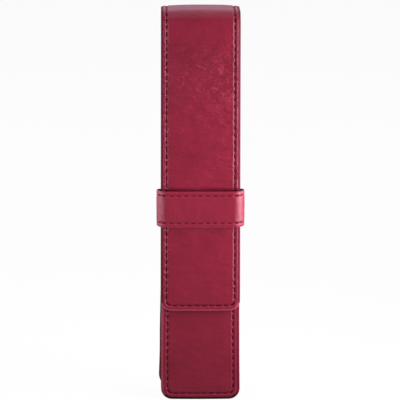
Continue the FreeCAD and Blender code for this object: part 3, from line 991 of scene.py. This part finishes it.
# The strap.
strap_path = BentPath([
    (-TAB_END, STRAP_REAR), (-STRAP_HALF, STRAP_REAR), (-STRAP_HALF, STRAP_FACE), (STRAP_HALF, STRAP_FACE),
    (STRAP_HALF, STRAP_REAR), (TAB_END, STRAP_REAR),
], [TAB_BEND, STRAP_BEND, STRAP_BEND, TAB_BEND])
# The strap's lower edge has a pale line, partly wear and partly a painted highlight.
strap = Panel(STRAP_HEIGHT_HALF, 0.0, strap_path.length, (0.0, 0.0), STRAP_INSET, STRAP_EDGE, STRAP_SEAM,
              sewn_ends=False, wear_and_highlight=("under",))
BEND_HALF = STRAP_BEND * math.pi / 4
TAB_LENGTH = STRAP_HALF - TAB_END - TAB_BEND
STRAP_SIDE = TAB_LENGTH + TAB_BEND * math.pi / 2
STRAP_CORNER = STRAP_SIDE + STRAP_REAR - STRAP_FACE - TAB_BEND - STRAP_BEND + BEND_HALF
LINING_REACH = STRAP_SIDE + STRAP_REAR - TAB_BEND - HIGH["strap_lining"][Y]


def on_strap(across, along, depth):
    x, y = strap_path.points(along, depth)
    return np.stack([x, y, STRAP_MIDDLE + across], axis=-1)


def bend_wear(across, along):
    """Depth to which the leather is worn on the outside of the two front bends, to a larger radius."""
    from_bend = np.minimum(np.abs(along - STRAP_CORNER), np.abs(along - strap_path.length + STRAP_CORNER))
    spare = BEND_OUTSIDE - STRAP_BEND
    slant = spare * math.sqrt(2) * np.cos(np.minimum(from_bend, BEND_HALF) / STRAP_BEND)
    on_bend = STRAP_BEND + slant - np.sqrt(slant ** 2 + BEND_OUTSIDE ** 2 - 2 * spare ** 2)
    past = np.clip(spare + BEND_HALF - from_bend, 0, spare)
    on_flat = BEND_OUTSIDE - np.sqrt(BEND_OUTSIDE ** 2 - past ** 2)
    return np.where(from_bend < BEND_HALF, on_bend, on_flat)


def bend_give(across, along):
    """How far the inside of the strap gives way behind its worn bends."""
    return BEND_GIVE_SHARE * bend_wear(across, along)


def strap_back(across, along, rim):
    """The strap's ends are pared thin where they go into the seam."""
    from_end = np.minimum(along, strap_path.length - along)
    thickness = np.interp(from_end, [TAB_LENGTH, STRAP_SIDE], [TAB_THICKNESS, STRAP_LEATHER])
    return thickness + bend_give(across, along)


seam = seam_steps(STRAP_INSET)
bends = strap_path.bend_stops(ARC_STEP)
columns = stops(-STRAP_HEIGHT_HALF, STRAP_HEIGHT_HALF, COLUMN_STEP / 2, seam, seam)
rows = stops(0.0, strap_path.length, ROW_STEP, extra=bends)
strap_band = sheet("strap_band", on_strap, strap, columns, rows, sewn_face(strap, bend_wear, STRAP_SEED),
                   strap_back, [STRAP_FINISH, EDGE, STRAP_BACKING, DARK_EDGE_AND_SHADE])
fit(strap_band, "strap")

columns = stops(-STRAP_HEIGHT_HALF, STRAP_HEIGHT_HALF, LINING_STEP)
rows = stops(LINING_REACH, strap_path.length - LINING_REACH, LINING_STEP, extra=bends)
strap_lining = sheet("strap_band_lining", on_strap, strap, columns, rows,
                     raised(STRAP_LEATHER + STRAP_LINING, bend_give), raised(STRAP_LEATHER, bend_give),
                     [STRAP_BACKING, STRAP_BACKING, STRAP_BACKING, DARK_EDGE_AND_SHADE])
fit(strap_lining, "strap_lining")

strap_stitches = strap.side_stitches(STRAP_SIDE, strap_path.length - STRAP_SIDE)
for place, side in (("lower", -1), ("upper", 1)):
    stitches = [stitch for stitch in strap_stitches if stitch[0] * side > 0]
    row = sew(f"strap_{place}_stitches", on_strap, seam_floor(strap, bend_wear), stitches, STRAP_THREAD)
    fit(row, f"strap_{place}_thread")


# The gusset.

def channel_line(inset, depth):
    """Points of the line down one side, along the base and up the other side, drawn in from the outline."""
    corner = np.interp(depth, [GUSSET_FRONT, GUSSET_BACK], [BOTTOM_RADIUS, BACK_RADIUS])
    radius = np.interp(inset, [0.0, WEB_INSET, WEB_INSET + WEB_RADIUS], [corner, WEB_RADIUS, 0.0])
    half = FRONT_HALF - inset
    turns = np.linspace(0, math.pi / 2, CORNER_POINTS)
    drop = np.linspace(GUSSET_TOP, inset + radius, int(GUSSET_TOP / SIDE_STEP))
    left = [(-half, height) for height in drop[:-1]]
    left += [(-half + radius * (1 - math.cos(turn)), inset + radius * (1 - math.sin(turn))) for turn in turns]
    base = [(place, inset) for place in np.linspace(-half + radius, half - radius, BASE_POINTS)[1:-1]]
    return np.array(left + base + [(-x, z) for x, z in reversed(left)])


def swept(name, section, materials, kinds):
    """A closed section of insets and depths, carried along the channel line as a closed mesh."""
    lines = [channel_line(inset, depth) for inset, depth in section]
    points = np.array([[(x, depth, z) for x, z in line] for line, (inset, depth) in zip(lines, section)])
    rear = (points[..., Y] - GUSSET_FRONT) / (GUSSET_BACK - GUSSET_FRONT)
    give = front_give(points[..., X], points[..., Z])
    points[..., X] += (1 - rear) * give - rear * back_lean(points[..., Z])
    around, length = points.shape[:2]
    index = np.arange(around * length).reshape(around, length)
    following = np.roll(index, -1, axis=0)
    faces = np.stack([index[:, :-1], following[:, :-1], following[:, 1:], index[:, 1:]], axis=-1)
    labels = np.repeat(kinds, length - 1).tolist() + [PAINTED, PAINTED]
    faces = faces.reshape(-1, 4).tolist() + [index[::-1, 0].tolist(), index[:, -1].tolist()]
    steps = np.linalg.norm(np.diff(points, axis=1), axis=2)
    run = np.concatenate([np.zeros((around, 1)), np.cumsum(steps, axis=1)], axis=1)
    reach = np.cumsum([0.0] + [math.dist(one, two) for one, two in zip(section, section[1:])])
    flat = np.stack([np.repeat(reach, length), run.ravel()], axis=-1)
    inset = np.repeat([place for place, depth in section], length)
    return make_piece(name, points, faces, flat, materials, labels, {
        "rim": inset * FLAT_UNIT,
        "wear_and_highlight_distance": np.full(len(inset), FRONT_HALF * FLAT_UNIT),
        "groove": np.zeros(len(inset)),
        "crease": np.ones(len(inset)),
    })


def gusset_section():
    """The channel's section: along one flange, round into the bowed web and out along the other flange."""
    flange = GUSSET_FRONT + GUSSET_LEATHER
    middle = (GUSSET_FRONT + GUSSET_BACK) / 2
    span = middle - flange - WEB_BEND
    front_half = [(0.0, GUSSET_FRONT), (0.0, flange), (WEB_INSET * FLANGE_FLAT_SHARE, flange)]
    front_half += [(WEB_INSET - WEB_BEND * (1 - math.sin(turn)), flange + WEB_BEND * (1 - math.cos(turn)))
                   for turn in np.linspace(0, math.pi / 2, BEND_POINTS)]
    web = [(WEB_INSET + WEB_BOW * (1 - share ** 2), middle + span * share)
           for share in np.linspace(-1, 1, WEB_POINTS)[1:-1]]
    back_half = [(inset, 2 * middle - depth) for inset, depth in reversed(front_half)]
    return front_half + web + back_half + [(WEB_INNER, GUSSET_BACK), (WEB_INNER, GUSSET_FRONT)]


WEB_INNER = WEB_INSET + GUSSET_LEATHER
LINING_INNER = WEB_INNER + GUSSET_LINING

# The flanges' cut edges are painted, and the sides that lie on the panels and the lining are bare.
section = gusset_section()
kinds = np.full(len(section), FACE)
kinds[[0, -4]] = PAINTED
kinds[-3:] = BACK
gusset_shell = swept("gusset_shell", section, [GUSSET_FINISH, DARK_EDGE_AND_SHADE, LINING], kinds)
fit(gusset_shell, "gusset")

section = [(WEB_INNER, GUSSET_FRONT), (WEB_INNER, GUSSET_BACK), (LINING_INNER, GUSSET_BACK),
           (LINING_INNER, (GUSSET_FRONT + GUSSET_BACK) / 2), (LINING_INNER, GUSSET_FRONT)]
gusset_lining = swept("gusset_shell_lining", section, [LINING, DARK_EDGE_AND_SHADE], np.full(len(section), FACE))
fit(gusset_lining, "gusset_lining")

# The boards stay as they are, closed in between leather and lining.
for name in ("front_board", "back_board"):
    board = frame["nodes"][name].data
    board.materials.clear()
    board.materials.append(BOARD_FINISH)


# Floor, light and camera.
FLOOR_HALF = 4.0
FLOOR_LIT = (0.06, 0.06, 0.06, 1.0)
FLOOR_SEEN = (0.95, 0.95, 0.95, 1.0)
FLOOR_SHARES = (0.95, 0.65)
WORLD_SHARES = (1.0, 0.71)
WORLD_LIGHT = 0.10
PALE = (1.0, 1.0, 1.0, 1.0)
ROSY = (1.0, 0.72, 0.95, 1.0)
LAMP_AIM = Vector((0.0, 0.0, 0.10))
WIDE_CONE = 180


def seen_share(tree, camera_share, gloss_share):
    """One share for rays from the camera, another for a gloss or a glass, and 0 for rays that carry light."""
    path = add(tree, "ShaderNodeLightPath").outputs
    gloss = compute(tree, "MAXIMUM", path["Is Glossy Ray"], path["Is Transmission Ray"])
    gloss = compute(tree, "MULTIPLY", gloss, gloss_share)
    return compute(tree, "MULTIPLY_ADD", path["Is Camera Ray"], camera_share, gloss)


def camera_tint(tree, lit, seen):
    """A colour for rays that carry light, and another for rays from the camera."""
    return tint(tree, add(tree, "ShaderNodeLightPath").outputs["Is Camera Ray"], lit, seen)


def make_floor():
    """A pale floor that looks white, keeps a soft shadow and throws little light up."""
    made, tree, shader = new_material("floor")
    plug(tree, shader, {"Base Color": camera_tint(tree, FLOOR_LIT, FLOOR_SEEN), "Roughness": 1.0,
                        "Specular IOR Level": 0.0})
    glow = add(tree, "ShaderNodeEmission", {"Color": PALE, "Strength": 1.0}).outputs[0]
    share = seen_share(tree, *FLOOR_SHARES)
    mix = add(tree, "ShaderNodeMixShader", {0: share, 1: shader.outputs[0], 2: glow}).outputs[0]
    tree.links.new(mix, tree.nodes["Material Output"].inputs["Surface"])
    corners = [(FLOOR_HALF * x, FLOOR_HALF * y, 0) for x, y in ((-1, -1), (1, -1), (1, 1), (-1, 1))]
    mesh = bpy.data.meshes.new("floor")
    mesh.from_pydata(corners, [], [(0, 1, 2, 3)])
    mesh.materials.append(made)
    floor = bpy.data.objects.new("floor", mesh)
    bpy.context.scene.collection.objects.link(floor)


def make_world():
    """White where the camera sees it, a little rosy in a gloss, and faint as a light."""
    world = bpy.data.worlds.new("studio")
    bpy.context.scene.world = world
    world.use_nodes = True
    tree = world.node_tree
    tone = camera_tint(tree, ROSY, PALE)
    seen = add(tree, "ShaderNodeBackground", {"Color": tone, "Strength": 1.0}).outputs[0]
    lit = tree.nodes["Background"]
    plug(tree, lit, {"Color": PALE, "Strength": WORLD_LIGHT})
    share = seen_share(tree, *WORLD_SHARES)
    mix = add(tree, "ShaderNodeMixShader", {0: share, 1: lit.outputs[0], 2: seen}).outputs[0]
    tree.links.new(mix, tree.nodes["World Output"].inputs["Surface"])


def softbox(name, place, size, power, cone=WIDE_CONE):
    lamp = bpy.data.lights.new(name, "AREA")
    lamp.shape = "RECTANGLE"
    lamp.size, lamp.size_y = size
    lamp.energy = power
    lamp.spread = math.radians(cone)
    holder = bpy.data.objects.new(name, lamp)
    holder.location = place
    holder.visible_camera = False
    holder.rotation_euler = (LAMP_AIM - Vector(place)).to_track_quat("-Z", "Y").to_euler()
    bpy.context.scene.collection.objects.link(holder)


make_floor()
make_world()
softbox("key", place=(0.17, -0.053, 0.102), size=(0.20, 0.15), power=0.325, cone=98)
softbox("fill", place=(-0.17, -0.036, 0.102), size=(0.28, 0.15), power=0.158, cone=98)
softbox("rear", place=(0.0, 0.69, 0.74), size=(1.2, 0.6), power=0.8)
softbox("overhead", place=(0.0, 0.0, 0.90), size=(1.6, 1.2), power=5.4)
softbox("rear_right", place=(0.5, 0.5, 0.2), size=(0.3, 0.3), power=0.9)
softbox("rear_left", place=(-0.5, 0.5, 0.2), size=(0.3, 0.3), power=0.9)

CAMERA_TARGET = Vector((-0.00007, 0.0, 0.08172))
CAMERA_DISTANCE = 1.0
CAMERA_AZIMUTH = math.radians(-1.03)
CAMERA_ELEVATION = math.radians(12.29)
CAMERA_ROLL = math.radians(0.115)
CAMERA_LENS = 222.9
CAMERA_SENSOR = 36.0

camera_data = bpy.data.cameras.new("camera")
camera_data.lens = CAMERA_LENS
camera_data.sensor_width = CAMERA_SENSOR
camera = bpy.data.objects.new("camera", camera_data)
camera.location = CAMERA_TARGET + CAMERA_DISTANCE * Vector((
    math.sin(CAMERA_AZIMUTH) * math.cos(CAMERA_ELEVATION),
    -math.cos(CAMERA_AZIMUTH) * math.cos(CAMERA_ELEVATION),
    math.sin(CAMERA_ELEVATION),
))
sight = (CAMERA_TARGET - camera.location).to_track_quat("-Z", "Y")
camera.rotation_euler = (sight @ Quaternion((0.0, 0.0, 1.0), CAMERA_ROLL)).to_euler()
bpy.context.scene.collection.objects.link(camera)
bpy.context.scene.camera = camera
bpy.context.scene.view_settings.view_transform = "Standard"
